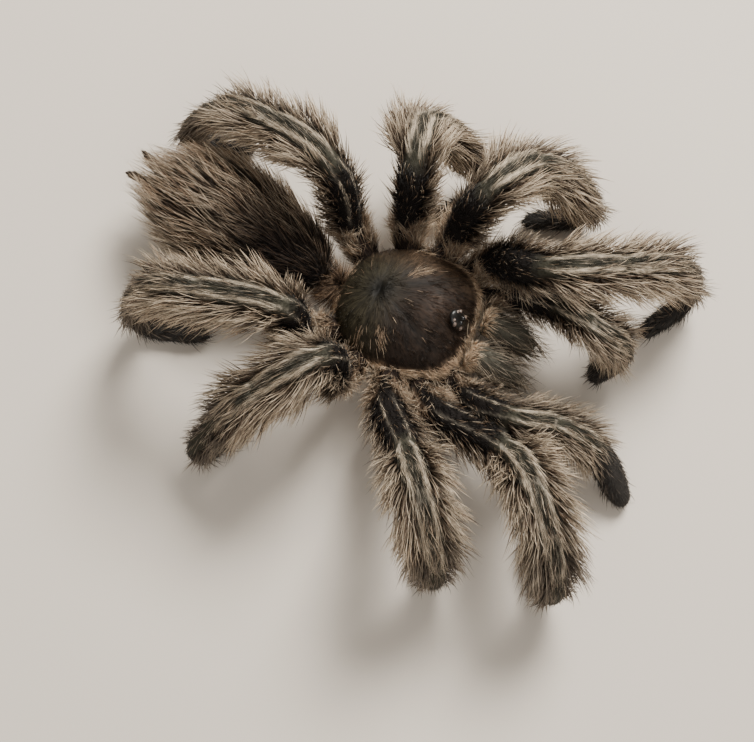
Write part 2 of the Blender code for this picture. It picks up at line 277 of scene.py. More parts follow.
def curve_at(start, end, out, into, share):
    """Places on the curve from start to end, which leaves along out and arrives along into."""
    reach = np.linalg.norm(end - start)
    s = share[:, None]
    place = start * (2 * s**3 - 3 * s**2 + 1) + end * (3 * s**2 - 2 * s**3)
    return place + out * reach * (s**3 - 2 * s**2 + s) + into * reach * (s**3 - s**2)


def near_value(x, middle, width):
    """A soft bump, one at the middle."""
    return np.exp(-((x - middle) / width) ** 2)


def ramp(x, low, high):
    """A smooth step from zero at low to one at high."""
    share = np.clip((x - low) / (high - low), 0, 1)
    return share * share * (3 - 2 * share)


def unit(rows):
    """Rows scaled to length one."""
    return rows / np.maximum(np.linalg.norm(rows, axis=-1, keepdims=True), 1e-12)


def along_surface(rows, facing):
    """Directions laid flat on the surface."""
    return unit(rows - facing * np.sum(rows * facing, 1, keepdims=True))


def sample_limb(joints):
    """Places, directions, stations and upper sides along one limb."""
    share = np.arange(STEPS) / STEPS
    places = []
    for (start, out), (end, into) in zip(joints, joints[1:]):
        places.append(curve_at(*(np.array(v) for v in (start, end, out, into)), share))
    places = np.vstack(places + [np.array(joints[-1][0])[None]])
    stations = np.arange(len(places)) / STEPS
    ahead = unit(np.gradient(places, axis=0))
    shin = np.array(joints[3][0] - joints[1][0])
    across = along_surface(np.cross(shin, (0, 0, 1))[None], ahead)
    return {"place": places, "ahead": ahead, "station": stations, "upper": np.cross(across, ahead)}


limbs = {name: sample_limb(joints) for name, joints in limb_joints.items()}
print("middle-line samples:", sum(len(limb["place"]) for limb in limbs.values()))

# %% [markdown]
# The skin of a limb is a tube round its middle line, with the bulge of each part's muscle and a
# slight waist at each joint. The radii are those of the bare limb, in millimetres at the start,
# middle and end of each part; the hairs add two to five millimetres.

# %% Radii of the limbs
LEG_RADII = ((1.9, 2.4, 2.35), (2.25, 2.5, 2.4), (2.3, 2.35, 2.0), (1.85, 1.8, 1.65), (1.6, 1.7, 1.35))
PALP_RADII = ((1.5, 1.9, 1.95), (1.9, 2.05, 1.95), (1.9, 2.1, 1.95), (2.0, 2.25, 1.7))
JOINT_WAIST = 0.07


def skin_radius(radii, station):
    """Radius of the bare limb at a station, in metres."""
    part = np.minimum(station.astype(int), len(radii) - 1)
    share = station - part
    near, middle, far = np.array(radii)[part].T
    bulge = near * (1 - share) * (1 - 2 * share) + 4 * middle * share * (1 - share)
    bulge = bulge + far * share * (2 * share - 1)
    inside = (station > 0.5) * (station < len(radii) - 0.5)
    waist = 1 - JOINT_WAIST * near_value(station, np.round(station), 0.06) * inside
    return bulge * waist * MM


# %% [markdown]
# A tube could be a curve with a bevel. Rings of points are written instead, as each ring then
# keeps the station that the markings need.

# %% A closed tube
SKIN_SIDES = 14


def tube(places, ahead, radius, sides=SKIN_SIDES, hint=(0.3, 0.2, 1.0), stretch=1.0):
    """Vertices and faces of a closed tube with rings square to its middle line."""
    across = along_surface(np.cross(ahead[len(ahead) // 2], hint)[None], ahead)
    above = np.cross(ahead, across)
    angle = np.linspace(0, 2 * np.pi, sides, endpoint=False)
    ring = across[:, None] * np.cos(angle)[:, None] * stretch + above[:, None] * np.sin(angle)[:, None]
    points = (places[:, None] + ring * radius[:, None, None]).reshape(-1, 3)
    faces = []
    for row in range(len(places) - 1):
        for i in range(sides):
            a = row * sides + i
            b = row * sides + (i + 1) % sides
            faces.append((a, b, b + sides, a + sides))
    last = len(points) - sides
    faces.append(tuple(range(sides))[::-1])
    faces.append(tuple(range(last, last + sides)))
    return points, faces


# %% [markdown]
# The toe is rounded off by three small rings. A hip stub runs in from each limb under the shield,
# so that the limbs meet the body inside it.

# %% Skin of a limb
HIP_HEIGHT = 6.3 * MM
HIP_INWARD = 9.0 * MM
HIP_STUB_RADII = (1.6, 1.9, 2.0)


def limb_skin(limb, radii):
    """One limb's tube and stations, with a rounded toe and a hip stub that runs in to the body."""
    places, ahead, station = limb["place"], limb["ahead"], limb["station"]
    radius = skin_radius(radii, station)
    inward = unit(np.array(SHIELD_FLOOR) + (0, 0, HIP_HEIGHT) - places[0])
    stub = places[0] + inward * HIP_INWARD * np.array([1.0, 0.66, 0.33])[:, None]
    toe = places[-1] + ahead[-1] * np.array([0.5, 0.9, 1.1])[:, None] * radius[-1]
    rows = np.vstack([stub, places, toe])
    heading = np.vstack([np.repeat(-inward[None], 3, 0), ahead, np.repeat(ahead[-1:], 3, 0)])
    toe_radii = radius[-1] * np.array([0.86, 0.5, 0.15])
    size = np.concatenate([np.array(HIP_STUB_RADII) * MM, radius, toe_radii])
    stations = np.concatenate([[-0.3, -0.2, -0.1], station, [station[-1]] * 3])
    return *tube(rows, heading, size), np.repeat(stations, SKIN_SIDES)


# %% [markdown]
# The abdomen, jaws, breast plate, stalk and spinnerets are the solids themselves, smoothed and
# drawn in by the depth of the hairs there, so that the tips of the hairs end at the solids.

# %% Skin of the body
COAT_DEPTH = {
    "abdomen": 2.3, "prosoma_underside": 0.5, "pedicel": 0.15, "chelicera_left": 0.8,
    "chelicera_right": 0.8, "spinneret_left": 0.2, "spinneret_right": 0.2,
}
NUB_STALK = 5.5 * MM
NUB_RADIUS = 0.75 * MM


def body_skin(node, depth):
    """The solid, rounded by subdivision and drawn in along its normals."""
    mesh = rounded_solid(node, 2)
    points, facing, _ = surface_of(mesh)
    if node == "abdomen":
        behind = (points[:, 1] - points[:, 1].min()) / MM
        depth = (depth * (0.35 + 0.65 * ramp(behind, 0, 9)))[:, None]
    return points - facing * depth * MM, [tuple(face.vertices) for face in mesh.polygons]


def nub_stalk(side):
    """A short tube that ties a spinneret into the abdomen."""
    nub = middle_of("spinneret_" + side)
    inward = unit(middle_of("abdomen") - nub)
    stalk = nub + inward * np.linspace(0, NUB_STALK, 4)[:, None]
    return tube(stalk, np.repeat(inward[None], 4, 0), np.full(4, NUB_RADIUS))


# %% [markdown]
# Real skin has no seam at hips, waist or jaws. A boolean union of all the parts could give that,
# but it leaves sharp creases and long thin faces. A voxel remesh leaves one closed skin with even
# faces, and a little smoothing then softens the creases.

# %% Fuse the skin
VOXEL = 0.40 * MM
sources = []
for name, limb in limbs.items():
    sources.append((name, *limb_skin(limb, PALP_RADII if name.startswith("palp") else LEG_RADII)))
for side in SIDES:
    sources.append(("spinneret_" + side, *nub_stalk(side), 0.0))
for node, depth in COAT_DEPTH.items():
    sources.append((node, *body_skin(node, depth), 0.0))
REGIONS = sorted({name for name, _, _, _ in sources})
source_points = np.vstack([points for _, points, _, _ in sources])
source_faces = []
source_region = []
source_station = []
for name, points, faces, stations in sources:
    start = len(source_region)
    source_faces += [tuple(i + start for i in face) for face in faces]
    source_region += [REGIONS.index(name)] * len(points)
    source_station += list(np.broadcast_to(stations, len(points)))
source_region = np.array(source_region)
source_station = np.array(source_station)

raw_skin = bpy.data.meshes.new("raw_skin")
raw_skin.from_pydata(source_points.tolist(), [], source_faces)
skin_mesh = modified(raw_skin, ("REMESH", {"mode": "VOXEL", "voxel_size": VOXEL}),
                     ("SMOOTH", {"factor": 0.5, "iterations": 3}))
above_floor = read_rows(skin_mesh.vertices, "co")
above_floor[:, 2] = np.maximum(above_floor[:, 2], 0.0)
move_points(skin_mesh, above_floor)
skin_surface = surface_of(skin_mesh)
print("skin faces:", len(skin_mesh.polygons), "seconds:", round(time.time() - STARTED, 1))

# %% [markdown]
# Each point of the skin is told what it belongs to: its region, its station along a limb, how far
# round it is from the limb's upper side, and the way the hairs lie there. One rule then gives the
# markings for both the skin and the hairs.

# %% Know the skin: region, station, turn and lie of the coat
JAW_LIE = np.array((0.0, -1.0, -0.25))
JAW_BACK_RISE = np.array((0.0, 0.0, 2.0))
BREAST_LEVEL = 9 * MM
tailward = unit(middle_of("spinneret_left", "spinneret_right") - waist_middle)


def tree_of(points):
    """A search tree over rows of places."""
    tree = kdtree.KDTree(len(points))
    for i, point in enumerate(points):
        tree.insert(point, i)
    tree.balance()
    return tree


def nearest(tree, points):
    """For each row, the number of the nearest place in the tree."""
    return np.array([tree.find(point)[1] for point in points], int)


def belongs(known, *starts):
    """True where the region's name starts with one of the given words."""
    return np.array([name.startswith(starts) for name in REGIONS])[known["region"]]


def know(points, facing):
    """Region, station, turn from the upper side, and lie of the hairs for places on the skin."""
    near = nearest(source_tree, points)
    known = {"place": points, "facing": facing, "region": source_region[near]}
    station = source_station[near]
    upper = np.tile((0.0, 0.0, 1.0), (len(points), 1))
    lie = np.tile(tailward, (len(points), 1))
    jaws = belongs(known, "chelicera")
    lie[jaws] = JAW_LIE + JAW_BACK_RISE * ramp(facing[jaws, 1], 0.1, 0.8)[:, None]
    breast = belongs(known, "prosoma_underside")
    lie[breast] = unit(points[breast] - np.array(SHIELD_FLOOR) - (0, 0, BREAST_LEVEL)) * (1, 1, 0.1)
    for name, limb in limbs.items():
        chosen = np.flatnonzero(belongs(known, name))
        spot = nearest(line_trees[name], points[chosen])
        lie[chosen] = limb["ahead"][spot]
        upper[chosen] = limb["upper"][spot]
        station[chosen] = np.where(station[chosen] < 0, station[chosen], limb["station"][spot])
    lie = along_surface(lie, facing)
    around = np.cross(lie, upper)
    turn = np.arctan2(np.sum(facing * around, 1), np.sum(facing * upper, 1))
    return known | {"station": station, "lie": lie, "turn": turn}


source_tree = tree_of(source_points)
line_trees = {name: tree_of(limb["place"]) for name, limb in limbs.items()}
skin = know(*skin_surface[:2])
print("skin known, seconds:", round(time.time() - STARTED, 1))

# %% [markdown]
# The markings. Thighs are near black, but tan at the sides of the hip. Kneecaps and shins are
# grey-brown with two pale lines along the top and a faint ring where they meet, and the feet are
# dark slate. The lines run on faintly over the thighs that aren't plain. The abdomen is dark
# velvet, darkest over the front of its back.

# %% Colours of the markings
VELVET_BLACK = paint("15100d")
VELVET_SHIN = paint("37352b")
VELVET_SIDE = paint("2a221a")
PALE_LINE = paint("c6bba9")
FOOT_SLATE = paint("312e2b")
JAW_GREY = paint("57544a")
HIP_TAN = paint("98806a")
BELLY_BROWN = paint("2a201a")
ABDOMEN_BROWN = paint("352b20")
ABDOMEN_BLACK = paint("130d0b")
DARK_ASIDE = -2.5
# right legs whose lower shins get painted shade sooner
SHADED_RIGHT_SHINS = ("leg_1_right", "leg_2_right", "leg_3_right")
PLAIN_THIGHS = ("leg_1_left", "leg_2_left", "leg_3_left")


# %% [markdown]
# Where a marking lies could be painted as an image. Here it is a rule in station and turn, so the
# skin and every hair that grows from it agree, and no picture file is needed.

# %% Rules of the markings
def mix(first, second, share):
    """Blend two colours, or rows of colours, by one share for each row."""
    return first + (second - first) * np.asarray(share)[:, None]


def is_limb(known):
    """True on legs and feelers."""
    return belongs(known, "leg", "palp")


def foot_share(known):
    """How far down the foot's slate colour has set in, from 0 to 1."""
    start = np.where(belongs(known, "palp"), 2.9, 3.55)
    return ramp(known["station"], start, start + 0.35) * is_limb(known)


def pale_lines(known):
    """The two pale lines along a limb's top, and the faint ring at the end of the kneecap."""
    station, turn = known["station"], known["turn"]
    apart = 0.52 - 0.15 * near_value(station % 1, 0, 0.15)
    width = 0.09 + 0.03 * ramp(station, 0.95, 1.1) - 0.03 * ramp(station, 1.9, 2.1)
    thigh = 0.2 * ~belongs(known, *PLAIN_THIGHS)
    along = ramp(station, 0.15, 0.3) * (thigh + 0.5 * ramp(station, 1.0, 1.12))
    along = along * (1 - 0.3 * ramp(station, 1.9, 2.1)) * (1 - ramp(station, 2.4, 2.8))
    lines = near_value(np.abs(turn), apart, width) * along
    ring = 0.5 * near_value(station, 2.0, 0.03) * near_value(turn, 0, 0.8)
    return np.clip(np.maximum(lines, ring), 0, 1) * is_limb(known)


def dark_back(known):
    """The dark patch along the front half of the abdomen's back."""
    offset = (known["place"] - waist_middle) / MM
    aside = offset @ np.cross(tailward, (0, 0, 1))
    along = 1 - ramp(offset @ tailward, 9, 24)
    return along * near_value(aside, DARK_ASIDE, 6.0) * ramp(known["facing"][:, 2], -0.2, 0.5)


def velvet_colour(known):
    """Colour of the short pile, and of the skin under it."""
    station, turn = known["station"], np.abs(known["turn"])
    hip = (1 - ramp(station, 0.02, 0.22)) * ramp(turn, 0.4, 1.0)
    thigh_colour = mix(VELVET_BLACK, HIP_TAN, hip)
    shin_colour = mix(VELVET_SHIN, VELVET_SIDE, ramp(turn, 0.6, 1.3))
    limb_colour = mix(thigh_colour, shin_colour, ramp(station, 0.86, 1.02))
    limb_colour = mix(limb_colour, FOOT_SLATE, foot_share(known))
    limb_colour = mix(limb_colour, PALE_LINE, pale_lines(known))
    colour = np.tile(BELLY_BROWN, (len(station), 1))
    limb = is_limb(known) & (station >= 0)
    colour[limb] = limb_colour[limb]
    back = belongs(known, "abdomen")
    colour[back] = mix(ABDOMEN_BROWN, ABDOMEN_BLACK, dark_back(known))[back]
    colour[belongs(known, "chelicera")] = JAW_GREY
    return colour


# %% [markdown]
# Velvet skin: cuticle with a pile far too short to model. It is matt, with hardly any gloss, and
# its grain is a fine bump of pile clumps 0.35 mm apart. Hair and horn are finished the same way,
# by one function: the stored colour, lightened and darkened by a grain.

# %% Skin finish
PILE_CLUMP = 0.35 * MM


def store_colour(mesh, colours):
    """Keep one linear colour per vertex on the mesh."""
    layer = mesh.attributes.new("coat_colour", "FLOAT_COLOR", "POINT")
    rows = np.ones((len(colours), 4), np.float32)
    rows[:, :3] = colours
    layer.data.foreach_set("color", rows.ravel())


def grained_finish(name, shader_settings, grain_settings, shades, bump=None, strands=False):
    """Stored colour times a grain; shades are the grain's range and its darkest and lightest."""
    finish, tree, shader = new_finish(name, **shader_settings)
    colour = add_node(tree, "ShaderNodeAttribute", attribute_name="coat_colour")
    if strands:
        place = add_node(tree, "ShaderNodeAttribute", attribute_name="strand").outputs["Vector"]
    else:
        place = add_node(tree, "ShaderNodeTexCoord").outputs["Object"]
    grain = add_node(tree, "ShaderNodeTexNoise", {"Vector": place}, **grain_settings)
    low, high, dark, light = shades
    shade = add_node(tree, "ShaderNodeMapRange", {"Value": grain.outputs["Fac"]},
                     From_Min=low, From_Max=high, To_Min=dark, To_Max=light)
    tinted = add_node(tree, "ShaderNodeVectorMath",
                      {0: colour.outputs["Color"], "Scale": shade.outputs["Result"]},
                      operation="SCALE")
    tree.links.new(tinted.outputs["Vector"], shader.inputs["Base Color"])
    if bump:
        relief = add_node(tree, "ShaderNodeBump", {"Height": grain.outputs["Fac"]},
                          Strength=bump[0], Distance=bump[1])
        tree.links.new(relief.outputs["Normal"], shader.inputs["Normal"])
    return finish


def add_piece(name, mesh, finish):
    """Link a finished mesh into the scene, riding on the one body."""
    mesh.name = name
    mesh.materials.clear()
    mesh.materials.append(finish)
    piece = bpy.data.objects.new(name, mesh)
    scene.collection.objects.link(piece)
    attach(piece, "root")
    return piece


velvet_cuticle = grained_finish(
    "velvet_cuticle", {"Roughness": 0.85, "Specular_IOR_Level": 0.2},
    {"Scale": 1 / PILE_CLUMP, "Detail": 3.0, "Roughness": 0.7}, (0.3, 0.7, 0.65, 1.1),
    bump=(0.8, 0.15 * MM))
store_colour(skin_mesh, velvet_colour(skin))
skin_piece = add_piece("skin", skin_mesh, velvet_cuticle)
flesh = [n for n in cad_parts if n.startswith(("leg_", "palp_", "chelicera", "spinneret"))]
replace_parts(skin_piece, "abdomen", "pedicel", "prosoma_underside", *flesh)
print("skin dressed, solids replaced:", len(flesh) + 3)

# %% [markdown]
# A hair is a closed three-sided spike, bent a little along its length. Blender's own hair curves
# would be quicker to comb, but only a mesh is exported, so thousands of spikes are worked out
# together as arrays, which is fast.

# %% Hairs as arrays
FLOOR_CLEARANCE = 0.08 * MM
HAIR_SIDES = 3


def hair_arrays(root, first, last, length, width, levels):
    """Vertices, faces and root-to-tip shares of many hairs; first and last are directions."""
    count = len(root)
    side = unit(np.cross(first, rng.normal(size=(count, 3))))
    other = np.cross(first, side)
    angles = 2 * np.pi * np.arange(HAIR_SIDES) / HAIR_SIDES
    share = np.arange(levels) / levels
    rows = []
    for s in share:
        centre = root + length[:, None] * (first * s + (last - first) * s * s / 2)
        size = (width * (1 - s) ** 0.5)[:, None]
        rows += [centre + (side * math.cos(a) + other * math.sin(a)) * size for a in angles]
    rows.append(root + length[:, None] * (first + last) / 2)
    points = np.stack(rows, 1)
    points[..., 2] = np.maximum(points[..., 2], FLOOR_CLEARANCE)
    pattern = [(2, 1, 0)]
    for k in range(levels):
        for i in range(HAIR_SIDES):
            a, b = HAIR_SIDES * k + i, HAIR_SIDES * k + (i + 1) % HAIR_SIDES
            if k < levels - 1:
                pattern += [(a, b, b + HAIR_SIDES), (a, b + HAIR_SIDES, a + HAIR_SIDES)]
            else:
                pattern.append((a, b, HAIR_SIDES * levels))
    each = len(rows)
    faces = np.array(pattern)[None] + each * np.arange(count)[:, None, None]
    shares = np.append(np.repeat(share, HAIR_SIDES), 1.0)
    return points.reshape(-1, 3), faces.reshape(-1, 3), np.tile(shares, count), each


# %% [markdown]
# Each hair gets a tiny patch in the OFBake map, at the place of its root on the unrolled skin. It
# is far too small to show a pattern, and a hair has none: it only runs from root to tip colour.

# %% Hairs as a mesh
PATCH = 0.003


def patch_uv(root_uv, each):
    """Spread each hair's vertices over a small square round its root's place on the map."""
    row, side = np.divmod(np.arange(each), HAIR_SIDES)
    spread = np.stack([row / max(1, (each - 1) // HAIR_SIDES), side / (HAIR_SIDES - 1)], 1) - 0.5
    return (root_uv[:, None] + spread[None] * PATCH).reshape(-1, 2)


def write_mesh(name, points, faces, colours, uvs):
    """A triangle mesh with vertex colours and the OFBake map."""
    mesh = bpy.data.meshes.new(name)
    mesh.vertices.add(len(points))
    mesh.vertices.foreach_set("co", points.astype(np.float32).ravel())
    mesh.loops.add(faces.size)
    mesh.loops.foreach_set("vertex_index", faces.astype(np.int32).ravel())
    mesh.polygons.add(len(faces))
    mesh.polygons.foreach_set("loop_start", np.arange(0, faces.size, 3, dtype=np.int32))
    mesh.update(calc_edges=True)
    mesh.shade_smooth()
    store_colour(mesh, colours)
    layer = mesh.uv_layers.new(name="OFBake")
    layer.data.foreach_set("uv", uvs[faces.ravel()].astype(np.float32).ravel())
    return mesh


# %% [markdown]
# Roots are scattered over the skin's own triangles, by area. Real hairs stand in loose tufts, so
# two slow waves over the body lean neighbours the same way.

# %% Scatter roots, and lean neighbours together
def scatter(surface, weight, count):
    """Random places on a surface's triangles, by area times weight, with smooth normals."""
    points, facing, triangles = surface
    a, b, c = (points[triangles[:, k]] for k in range(3))
    area = np.linalg.norm(np.cross(b - a, c - a), axis=1) * weight
    chosen = rng.choice(len(triangles), count, p=area / area.sum())
    u = rng.random(count)
    v = rng.random(count)
    flip = u + v > 1
    u[flip], v[flip] = 1 - u[flip], 1 - v[flip]
    shares = np.stack([1 - u - v, u, v], 1)[..., None]
    corner = triangles[chosen]
    return (points[corner] * shares).sum(1), unit((facing[corner] * shares).sum(1))


WAVE_LENGTHS = rng.uniform(1.6, 5.0, 10) * MM
WAVE_LINES = unit(rng.normal(size=(10, 3))) * (2 * np.pi / WAVE_LENGTHS)[:, None]
WAVE_STARTS = rng.uniform(0, 2 * np.pi, 10)


def drift(places):
    """Two slow waves over the body, about -1 to 1."""
    waves = np.sin(places @ WAVE_LINES.T + WAVE_STARTS) / 1.6
    return waves[:, :5].sum(1), waves[:, 5:].sum(1)


# %% [markdown]
# Each growth of hair has a length, a width, a lift from the skin at its root and at its tip, and
# a rule for its colour. Long guard hairs stand up, short pile lies down.

# %% Grow hairs from roots
MAP_BACK = 34 * MM
MAP_STUB = 0.4
MAP_STATIONS = 5.5


def grow(known, length, width, lift, settle, levels, stray=0.15, noise=1.0):
    """Hairs from known roots, in millimetres; they leave at lift and end at settle, in degrees."""
    count = len(known["place"])
    facing, lie = known["facing"], known["lie"]
    lean, swing = drift(known["place"])
    rise = np.radians(lift + noise * (rng.normal(0, 6, count) + 5 * lean))[:, None]
    fall = np.radians(settle + noise * (rng.normal(0, 7, count) + 8 * lean))[:, None]
    side = np.cross(facing, lie) * (rng.normal(0, 0.6, count) + 0.8 * swing)[:, None] * stray
    first = unit(lie * np.cos(rise) + facing * np.sin(rise) + side)
    last = unit(lie * np.cos(fall) + facing * np.sin(fall) + side * 2.0)
    root = known["place"] - facing * 0.1 * MM
    width = np.broadcast_to(width, count)
    return hair_arrays(root, first, last, length * MM, width * MM, levels)


def unrolled(known):
    """Root's place on the unrolled skin: round the limb or body, and along it."""
    round_share = 0.5 + known["turn"] / (2 * np.pi)
    back = (known["place"] - waist_middle) @ tailward / MAP_BACK
    along = np.where(is_limb(known), (known["station"] + MAP_STUB) / MAP_STATIONS, np.clip(back, 0, 1))
    return 0.01 + 0.98 * np.stack([round_share, np.clip(along, 0, 1)], 1)


def chances(known):
    """One random share for each root."""
    return rng.random(len(known["place"]))


def lengths(known, low, high):
    """One random length for each root, in millimetres."""
    return rng.uniform(low, high, len(known["place"]))


def pick(known, chosen):
    """The rows of known that a mask or list chooses."""
    return {name: rows[chosen] for name, rows in known.items()}


triangle_known = pick(skin, skin_surface[2][:, 0])


def roots_on(region, count, weigh=None):
    """Known roots scattered over the regions whose names start with a word."""
    weight = belongs(triangle_known, region).astype(float)
    if weigh is not None:
        weight = weight * weigh(triangle_known)
    return know(*scatter(skin_surface, weight, count))


# %% [markdown]
# Hair is a thin horn fibre: half glossy along its length, tan to cream where it is long, with the
# root darker than the tip, partly its own colour and partly painted shade deep in the coat. A little
# noise along the hairs, 0.8 mm long, keeps neighbours from matching, and each hair's brightness is
# varied too.

# %% Hair finish and coats
HAIR_MOTTLE = 0.8 * MM
HAIR = grained_finish(
    "horn_fibre", {"Roughness": 0.55, "Specular_IOR_Level": 0.35},
    {"Scale": 1 / HAIR_MOTTLE, "Detail": 2.0}, (0.3, 0.7, 0.75, 1.2))
HAIR_CREAM = paint("ead6ba")
HAIR_TAN = paint("b8997a")
HAIR_BROWN = paint("5a4636")
HAIR_ROOT_BLACK_AND_SHADE = paint("1c1512")
SPREAD = 0.18
TIP_FADE = 1.3


class Coat:
    """Collects growths of hair for one piece; unroll gives a root's place on the map."""

    def __init__(self, unroll=unrolled):
        self.unroll = unroll
        self.growths = []
        self.total = 0

    def add(self, known, hairs, root_colour, tip_colour, tip_spread=SPREAD):
        """Add a growth, with its colours at root and tip."""
        points, faces, share, each = hairs
        ends = []
        for colour, spread in ((root_colour, SPREAD), (tip_colour, tip_spread)):
            varied = colour * np.exp(rng.normal(0, spread, (len(known["place"]), 1)))
            ends.append(np.repeat(varied, each, 0))
        colours = mix(*ends, share ** TIP_FADE)
        self.growths.append((points, faces + self.total, colours, patch_uv(self.unroll(known), each)))
        self.total += len(points)

    def piece(self, name, slot):
        """Write all growths as one piece."""
        joined = [np.concatenate(part) for part in zip(*self.growths)]
        print(name, "triangles:", len(joined[1]), "seconds:", round(time.time() - STARTED, 1))
        add_piece(name, write_mesh(name, *joined), HAIR)


# %% [markdown]
# The coat of a leg grows in layers. First comes a short pile that carries the markings, taller on
# thigh and foot. Over it lie the comb hairs, fine pale strokes along the top, which also draw the
# two lines.

# %% Pile and comb of legs and feelers
def on_side(known):
    """How far a place is from the limb's upper face: 0 on top, 1 at the sides and below."""
    thigh = 1 - ramp(known["station"], 0.85, 1.05)
    turn = np.abs(known["turn"]) - 0.45 * thigh
    return ramp(turn, 0.55 + 0.1 * near_value(known["station"], 1.5, 0.5), 1.15)


def add_pile(coat, region, count, scale):
    """Short lying pile that carries the markings, its tips lighter as a painted sheen; the pale lines
    are nearly bare.
    """
    pile = roots_on(region, count, lambda k: 1 - 0.7 * pale_lines(k))
    pile = pick(pile, pile["place"][:, 2] > 0.5 * MM)
    colour = velvet_colour(pile)
    foot = foot_share(pile)
    tall = 1 - ramp(pile["station"], 0.85, 1.0) + 0.8 * foot
    size = lengths(pile, 0.5, 0.95) * scale * (1 + 0.5 * tall)
    # painted sheen: lighter tips, brighter at random on the foot
    painted_sheen = 1.35 + 1.6 * foot * chances(pile)
    hairs = grow(pile, size, size * 0.055, 16 + 12 * tall, 6 + 6 * tall, 1)
    coat.add(pile, hairs, colour * 0.7, colour * painted_sheen[:, None])


def comb_strokes(known):
    """Where comb hairs are dense: over the shin's top, and along the two lines."""
    station, turn = known["station"], known["turn"]
    top = near_value(turn, 0, 0.8) * (0.6 * ramp(station, 0.95, 1.15) + 0.3 * ramp(station, 1.8, 2.1))
    top = top * (1 - ramp(station, 2.8, 3.2))
    lines = near_value(np.abs(turn), 0.5, 0.12) * ramp(station, 0.95, 1.1)
    lines = lines * (1.2 - 0.6 * ramp(station, 1.9, 2.1)) * (1 - ramp(station, 2.2, 2.6))
    thigh = near_value(np.abs(turn), 0.52, 0.05) * ramp(station, 0.15, 0.3)
    thigh = thigh * (1 - ramp(station, 0.9, 1.0)) * (1 - 0.85 * belongs(known, *PLAIN_THIGHS))
    return top + lines + 0.6 * thigh


def add_comb(coat, region, count, scale):
    """Fine pale hairs that lie along the top like a comb's strokes."""
    comb = roots_on(region, count, comb_strokes)
    thigh = 1 - ramp(comb["station"], 0.9, 1.0)
    size = lengths(comb, 2.2, 4.0) * scale * (1 - 0.35 * thigh)
    line = np.maximum(thigh, near_value(np.abs(comb["turn"]), 0.5, 0.15))
    tip = mix(PALE_LINE * 0.7, HAIR_CREAM, ramp(line + chances(comb), 0.2, 1.2))
    tip[chances(comb) > 0.3 + line] = VELVET_SHIN * 0.5
    root = mix(velvet_colour(comb), PALE_LINE * 0.9, line * (1 - 0.4 * thigh))
    coat.add(comb, grow(comb, size, 0.048, 9, 1, 2, 0.07, 0.5), root, tip)


# %% [markdown]
# Bristles fill the coat out between pile and guard hairs. They keep off the pale lines, which
# would otherwise be hidden, and all hairs darken toward the slate foot: its own slate colour, and
# painted shade over the lower shin and metatarsus, which starts sooner on the first three right legs.

# %% Bristles
def foot_slate_and_shade(known):
    """How far the hairs darken toward the foot: its own slate, and painted shade from the lower shin
    on, sooner on the right legs.
    """
    # the darkening over the lower shin and metatarsus is painted shade
    reach = known["station"] + 0.25 * belongs(known, *SHADED_RIGHT_SHINS)
    return np.maximum(foot_share(known), 0.8 * ramp(reach, 2.55, 3.1) * ~belongs(known, "palp"))


def add_bristles(coat, region, count, scale):
    """Middling hairs, flat on top and lifted at the sides."""
    bristle = roots_on(region, count, lambda k: (1 - 0.95 * pale_lines(k)) * (0.4 + 0.6 * on_side(k)))
    bristle = pick(bristle, bristle["place"][:, 2] > 1.0 * MM)
    colour = velvet_colour(bristle)
    side = on_side(bristle)
    foot = foot_share(bristle)
    thigh = 1 - ramp(bristle["station"], 0.8, 1.0)
    tan = 0.35 + 0.1 * ramp(bristle["station"], 0.8, 1.2) + 0.2 * side
    tip = mix(colour * 1.5, HAIR_TAN, 0.8 * (chances(bristle) < tan))
    size = lengths(bristle, 1.1, 2.1) * (1 + 0.4 * side + 0.4 * thigh) * (1 - 0.35 * foot) * scale
    lift = 14 + 24 * side + 14 * thigh + 12 * foot
    hairs = grow(bristle, size, 0.028 + 0.01 * size, lift, 0.4 * lift, 2)
    coat.add(bristle, hairs, colour * 0.7, mix(tip, FOOT_SLATE * 1.6, foot_slate_and_shade(bristle)))


# %% [markdown]
# Long guard hairs sweep out from the sides and toward the foot. They are pale on kneecap and
# shin, and sparser and duller on the thigh, which gives each leg its light fringe.

# %% Guard hairs
def guard_growth(known):
    """Where guard hairs are dense: the sides of the limb, from the thigh to the metatarsus."""
    station = known["station"]
    along = 0.75 + 0.35 * ramp(station, 0.85, 1.1) - 0.45 * ramp(station, 3.0, 3.6)
    along = along * (1 - 0.75 * foot_share(known)) * (station > 0.05)
    top = 0.04 + 0.3 * ramp(station, 1.9, 2.4)
    return along * np.maximum(top, on_side(known))


def guard_colours(known):
    """Root and tip colours of guard hairs; their near-black roots are painted shade deep in the coat.
    """
    station = known["station"]
    pale = np.maximum(ramp(station, 0.85, 1.05), 1 - ramp(station, 0.05, 0.2))
    pale = pale * (1 - 0.4 * belongs(known, "palp"))
    pale = np.maximum(pale, 0.55 * on_side(known) * ramp(station, 0.3, 0.6))
    chance = chances(known)
    dull = mix(HAIR_BROWN, HAIR_CREAM, 0.8 * ramp(chance, 0.1, 1.0))
    bright = mix(HAIR_TAN, HAIR_CREAM, ramp(chance, -0.2, 0.4))
    bright[chance > 0.88] = HAIR_BROWN
    tip = mix(mix(dull, bright, pale), FOOT_SLATE * 2.0, 0.8 * foot_slate_and_shade(known))
    # near-black roots: painted shade deep in the coat
    return mix(HAIR_ROOT_BLACK_AND_SHADE * 0.7, HAIR_BROWN, 0.3 * pale), tip


